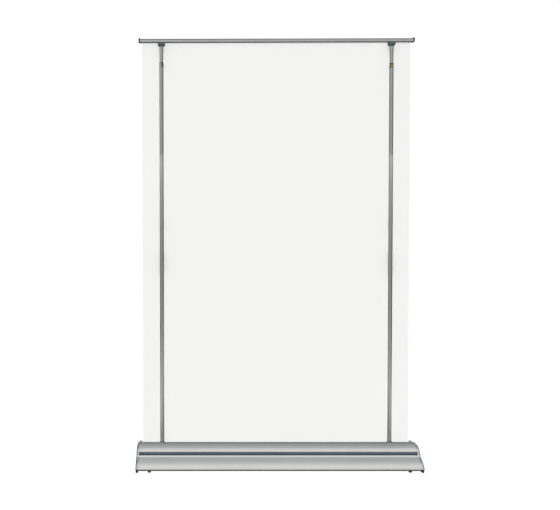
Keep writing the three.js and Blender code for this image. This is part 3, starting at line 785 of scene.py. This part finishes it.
def sector(centre, outer, inner, half, facing, steps=24):
    """Section of part of a tube's wall, centred on the direction facing, in degrees."""
    a, b = math.radians(facing - half), math.radians(facing + half)
    return arc(*centre, outer, a, b, steps) + arc(*centre, inner, b, a, steps)


def build_pole(side, sign):
    centre = (sign * POLE_X, POLE_Y)
    seat, facing = POLE_SEAT[side], LOCK_FACING[side]
    joint = seat + SECTION
    top = joint + SECTION
    pole, lock, upper = f"pole_{side}", f"lock_{side}", f"upper_{side}"

    lower = Builder().lathe(tube_profile(TUBE_OUTER, TUBE_INNER, seat, joint - GAP), centre, sides=72)
    finish_piece(lower.object(f"pole_lower_{side}", "tube"), pole, "tube", f"lower_tube_{side}")

    middle = Builder().lathe(tube_profile(TUBE_OUTER, TUBE_INNER, joint, top), centre, sides=72)
    middle = middle.object(f"pole_middle_{side}", "tube")
    opening = sector(centre, *CUTTER, WINDOW_HALF, facing)
    window = Builder().prism(opening, [(top - WINDOW_HEIGHT, 0), (top + 1, 0)], "z")
    finish_piece(cut(middle, window), pole, "tube", f"middle_tube_{side}")

    # dark bush: a collar with a soft lip over a frame that fills the cut-out round the slide
    low = top + GAP
    profile = [(10.7, low), (TUBE_OUTER, top + 0.6), (TUBE_OUTER, top + 3.2), (10.9, top + 3.8),
               (10.5, top + 4), (BUSH_INNER, top + 3.7), (BUSH_INNER, low)]
    collar = Builder().lathe(profile, centre, sides=72).object(f"bush_{side}", "dark")
    frame_loop = sector(centre, TUBE_OUTER, BUSH_INNER, BUSH_HALF, facing)
    shell = Builder().prism(frame_loop, [(top - WINDOW_HEIGHT + GAP, 0), (top + 1.0, 0)], "z")
    cut(collar, shell, "UNION")
    room_loop = sector(centre, *CUTTER, LOCK_HALF + 2, facing)
    room_low = top - LOCK_TOP - LOCK_HEIGHT - LOCK_TRAVEL - GAP
    room = Builder().prism(room_loop, [(room_low, 0), (top - LOCK_TOP + GAP, 0)], "z")
    finish_piece(cut(collar, room), pole, "dark", f"lock_bush_{side}")

    slide = thumb_slide(centre, top - LOCK_TOP - LOCK_HEIGHT, facing)
    finish_piece(slide.object(f"thumb_slide_{side}", "brass", 40), lock, "brass", f"lock_slide_{side}")

    upper_top = NECK_TOP - 4
    tube = tube_profile(UPPER_OUTER, UPPER_INNER, upper_top - UPPER_LENGTH, upper_top)
    tube = Builder().lathe(tube, centre, sides=72).object(f"pole_upper_{side}", "tube_light")
    finish_piece(tube, upper, "tube_light", f"upper_tube_{side}")
    plug = [(0, upper_top - 30), (8.0, upper_top - 30), (8.6, upper_top - 29), (8.6, upper_top + 0.1),
            (7.2, upper_top + 0.9), (6.6, upper_top + 1.8), (6.6, NECK_TOP - GAP), (0, NECK_TOP - GAP)]
    neck = Builder().lathe(plug, centre, hollow=False, sides=48)
    finish_piece(neck.object(f"neck_plug_{side}", "dark"), upper, "dark", f"top_plug_{side}")
    build_bracket(side, centre, NECK_TOP, upper)


def thumb_slide(centre, base, facing):
    """The brass slide: a piece of tube wall with ribs across its thumb face and broken ends."""
    count, ribs, rib_height, break_edge = 56, 6, 0.28, 0.8
    stations = []
    for i in range(count + 1):
        share = i / count
        to_end = min(share, 1 - share) * LOCK_HEIGHT
        broken = max(0, 1 - to_end / break_edge)
        wave = max(0, math.sin(2 * math.pi * ribs * share - math.pi / 2)) ** 0.8
        rib = rib_height * wave if 0.1 < share < 0.9 else 0
        loop = sector(centre, 11.7 + rib - 0.5 * broken, LOCK_INNER, LOCK_HALF - 1.2 * broken, facing)
        stations.append((base + LOCK_HEIGHT * share, loop))
    return Builder().loft(stations, "z")


def build_bracket(side, centre, low, body):
    x, y = centre
    high = low + 20
    half, chamfer = 19, 4
    front = [(x - half, high), (x - half, low + chamfer), (x - half + chamfer, low),
             (x + half - chamfer, low), (x + half, low + chamfer), (x + half, high)]
    front = fillet(front, [0.4, 1.5, 1.5, 1.5, 1.5, 0.4], 5)
    stations = [(y - 12, 1.4), (y - 11.6, 0.6), (y - 10.8, 0), (y + 10.8, 0), (y + 11.6, 0.6), (y + 12, 1.4)]
    bracket = Builder().prism(front, stations, "y").object(f"bracket_block_{side}", "dark")
    tongue = fillet([(x - 15, y - 5), (x + 15, y - 5), (x + 15, y + 5), (x - 15, y + 5)], 1.5)
    cut(bracket, Builder().prism(tongue, [(high - 1, 0), (high + 8.4, 0), (high + 9, 0.6)], "z"), "UNION")
    finish_piece(bracket, body, "dark", f"rail_bracket_{side}")


# ------------------------------------------------------------------ top rail
RAIL_FRONT, RAIL_REAR, RAIL_LOW, RAIL_HIGH = 38.5, 68.5, 2317.5, 2336.5
RAIL_END = 748.0


def rail_outline():
    """The front's lower corner, the channel, the chamber with its slit, the rear and the slope."""
    f, r, z0, z1 = RAIL_FRONT, RAIL_REAR, RAIL_LOW, RAIL_HIGH
    chan0, chan1, sheet = POLE_Y - 6, POLE_Y + 6, SHEET_Y
    return clean(path(
        (f, z0 + 0.8), ((f, z0), (f + 0.8, z0)),
        ((chan0, z0),), ((chan0, z0 + 11),), ((chan1, z0 + 11),), ((chan1, z0),),
        ((sheet - 1.3, z0),), ((sheet - 1.3, z0 + 1.8),), ((sheet - 6.5, z0 + 1.8),),
        ((sheet - 6.5, z1 - 2),), ((sheet + 1.2, z1 - 2),), ((sheet + 1.2, z0),),
        ((r - 0.8, z0),), ((r, z0), (r, z0 + 1)), ((r, z1 - 4),), ((r, z1), (r - 5, z1)),
        ((f + 10.5, z1),), ((f + 9, z1), (f + 8, z1 - 0.9)), ((f + 0.4, z1 - 7.5),),
        ((f, z1 - 8), (f, z1 - 8.6)), steps=10))


def build_rail():
    z0, z1, f, r = RAIL_LOW, RAIL_HIGH, RAIL_FRONT, RAIL_REAR
    end = RAIL_END - GAP
    stations = [(-end, 0.3), (-end + 0.3, 0), (end - 0.3, 0), (end, 0.3)]
    hollow = [(f + 2, z0 + 13), (f + 2, z1 - 8.5), (f + 10, z1 - 2.2), (SHEET_Y - 8.5, z1 - 2),
              (SHEET_Y - 8.5, z0 + 13)]
    holes = [([(s, inset(hollow, -d)) for s, d in stations], True, True)]
    rail = Builder().prism(rail_outline(), stations, "x", holes).object("rail_profile", "rail")
    # painted shade: the sloping face along the front gets a darker copy of the rail's aluminium, standing in
    # for the dim studio it reflects
    rail.data.materials.append(M["rail_slope"])
    for face in rail.data.polygons:
        if face.normal.y < -0.4 and face.normal.z > 0.5 and face.center.y < (f + 9) * MM:
            face.material_index = 1
    finish_piece(rail, "rail", "rail", "top_rail")

    proud, rim = 4.5, 0.7
    cap = clean(path((f - rim, z0 - rim), ((r + rim, z0 - rim),), ((r + rim, z1 - 3),),
                     ((r, z1 + proud), (POLE_Y + 4, z1 + proud)),
                     ((f, z1 + proud), (f - rim, z1 - 3)), steps=14))
    loop = fillet(cap, [1.2, 1.2] + [0] * (len(cap) - 2), 5)
    soft = [(RAIL_END, 0.4), (RAIL_END + 0.4, 0), (RAIL_END + 6, 0), (RAIL_END + 7, 0.3),
            (RAIL_END + 7.7, 1.0), (RAIL_END + 8, 1.9)]
    for side, sign in SIDES:
        shell = Builder().prism(loop, mirrored(sign, soft)).object(f"rail_end_{side}", "dark")
        finish_piece(shell, "rail", "dark", f"rail_cap_{side}")


# ------------------------------------------------------------------ graphic
FILM, WOUND = 0.35, 950                 # thickness, and length left on the roller
CAD_FILM = 0.8                          # thickness of the sheet's CAD solid
ROLL_R, ROLLER_Z = 19.0, 54.0
ROLL_OUTER = math.sqrt(ROLL_R ** 2 + FILM * WOUND / math.pi)
ROLLER_Y = SHEET_Y + CAD_FILM / 2 + GAP + ROLL_OUTER


def build_sheet():
    """The hanging film, flat and taut between the roller and the rail."""
    low, high = 56.0, 2332.5
    columns, rows = 60, 120
    made = Builder()
    grid = {}
    for layer, offset in ((0, -FILM / 2), (1, FILM / 2)):
        for i in range(columns + 1):
            for j in range(rows + 1):
                x = -SHEET_HALF + 2 * SHEET_HALF * i / columns
                z = low + (high - low) * j / rows
                grid[layer, i, j] = len(made.points)
                made.points.append((x, SHEET_Y + offset, z))
    for i in range(columns):
        for j in range(rows):
            for layer in (0, 1):
                quad = (grid[layer, i, j], grid[layer, i + 1, j],
                        grid[layer, i + 1, j + 1], grid[layer, i, j + 1])
                made.faces.append(quad if layer == 0 else quad[::-1])
    border = ([(i, 0) for i in range(columns)] + [(columns, j) for j in range(rows)]
              + [(i, rows) for i in range(columns, 0, -1)] + [(0, j) for j in range(rows, 0, -1)])
    for a, b in zip(border, border[1:] + border[:1]):
        made.faces.append((grid[(0, *b)], grid[(0, *a)], grid[(1, *a)], grid[(1, *b)]))
    film = made.object("banner_film", "film", 60)
    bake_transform(film)
    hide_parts("graphic_sheet")
    film.visible_glossy = False


def build_roll():
    """The wound part of the film, a spiral strip round the roller."""
    made = Builder()
    pitch, thick, start = 0.36, 0.3, ROLL_R + 0.2
    turns = (ROLL_OUTER - start) / pitch
    steps = int(turns * 48)
    rings = []
    for i in range(steps + 1):
        angle = 2 * math.pi * turns * i / steps
        inner = start + pitch * angle / (2 * math.pi)
        outer = inner + thick
        u, v = math.cos(angle), math.sin(angle)
        rings.append(made.ring([
            (x, ROLLER_Y + radius * u, ROLLER_Z + radius * v)
            for x, radius in ((-SHEET_HALF, inner), (SHEET_HALF, inner), (SHEET_HALF, outer),
                              (-SHEET_HALF, outer))]))
    for a, b in zip(rings, rings[1:]):
        made.wall(a, b)
    made.faces += [tuple(rings[0]), tuple(rings[-1])]
    roll = made.object("wound_film", "film", 40)
    finish_piece(roll, "roller", "film", "graphic_roll")


# ------------------------------------------------------------------ inner CAD nodes that stay
KEPT = {
    "clamp_bar": "dark", "roller_tube": "tube", "idler_stub": "steel", "spring_spindle": "steel",
    "spring_anchor": "dark", "torsion_spring": "steel",
    **{f"{name}_{side}": look for side, _ in SIDES for name, look in
       (("roller_plug", "dark"), ("bearing_bush", "white"), ("ferrule", "steel"), ("guide_shoe", "dark"))},
}


def dress_cad():
    for name, look in KEPT.items():
        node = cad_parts[name]
        node.data.materials.clear()
        node.data.materials.append(M[look])


# ------------------------------------------------------------------ stage
def plane(name, half, z, look):
    mesh = bpy.data.meshes.new(name)
    corners = [(-half, -half, z), (half, -half, z), (half, half, z), (-half, half, z)]
    mesh.from_pydata(corners, [], [(0, 1, 2, 3)])
    mesh.materials.append(look)
    obj = bpy.data.objects.new(name, mesh)
    scene.collection.objects.link(obj)
    return obj


def build_stage():
    """The sweep is what the eye sees; the floor under it is seen in gloss only."""
    sweep = plane("sweep", 40.0, -0.0005, sweep_material())
    for kind in ("diffuse", "glossy", "transmission", "shadow"):
        setattr(sweep, "visible_" + kind, False)
    floor = plane("floor", 3.0, -0.002, floor_material())
    floor.visible_camera = False
    floor.visible_diffuse = False


make_camera()
make_world()
build_stage()
sun("fill_front", (0.05, 1, -0.12), 30, 1.84)
sun("fill_back", (-0.1, -1, -0.15), 30, 1.9)
sun("fill_top", (0, 0.25, -1), 60, 0.8)
panel = area_light("low_panel", (0, -0.53, 1.7), (0, -0.53, 0), (5.0, 1.45), 8.3)
panel.visible_diffuse = False
panel.visible_camera = False
build_base()
for side_name, side_sign in SIDES:
    build_pole(side_name, side_sign)
build_rail()
build_sheet()
build_roll()
dress_cad()
scene.view_settings.view_transform = "Standard"
scene.view_settings.look = "None"
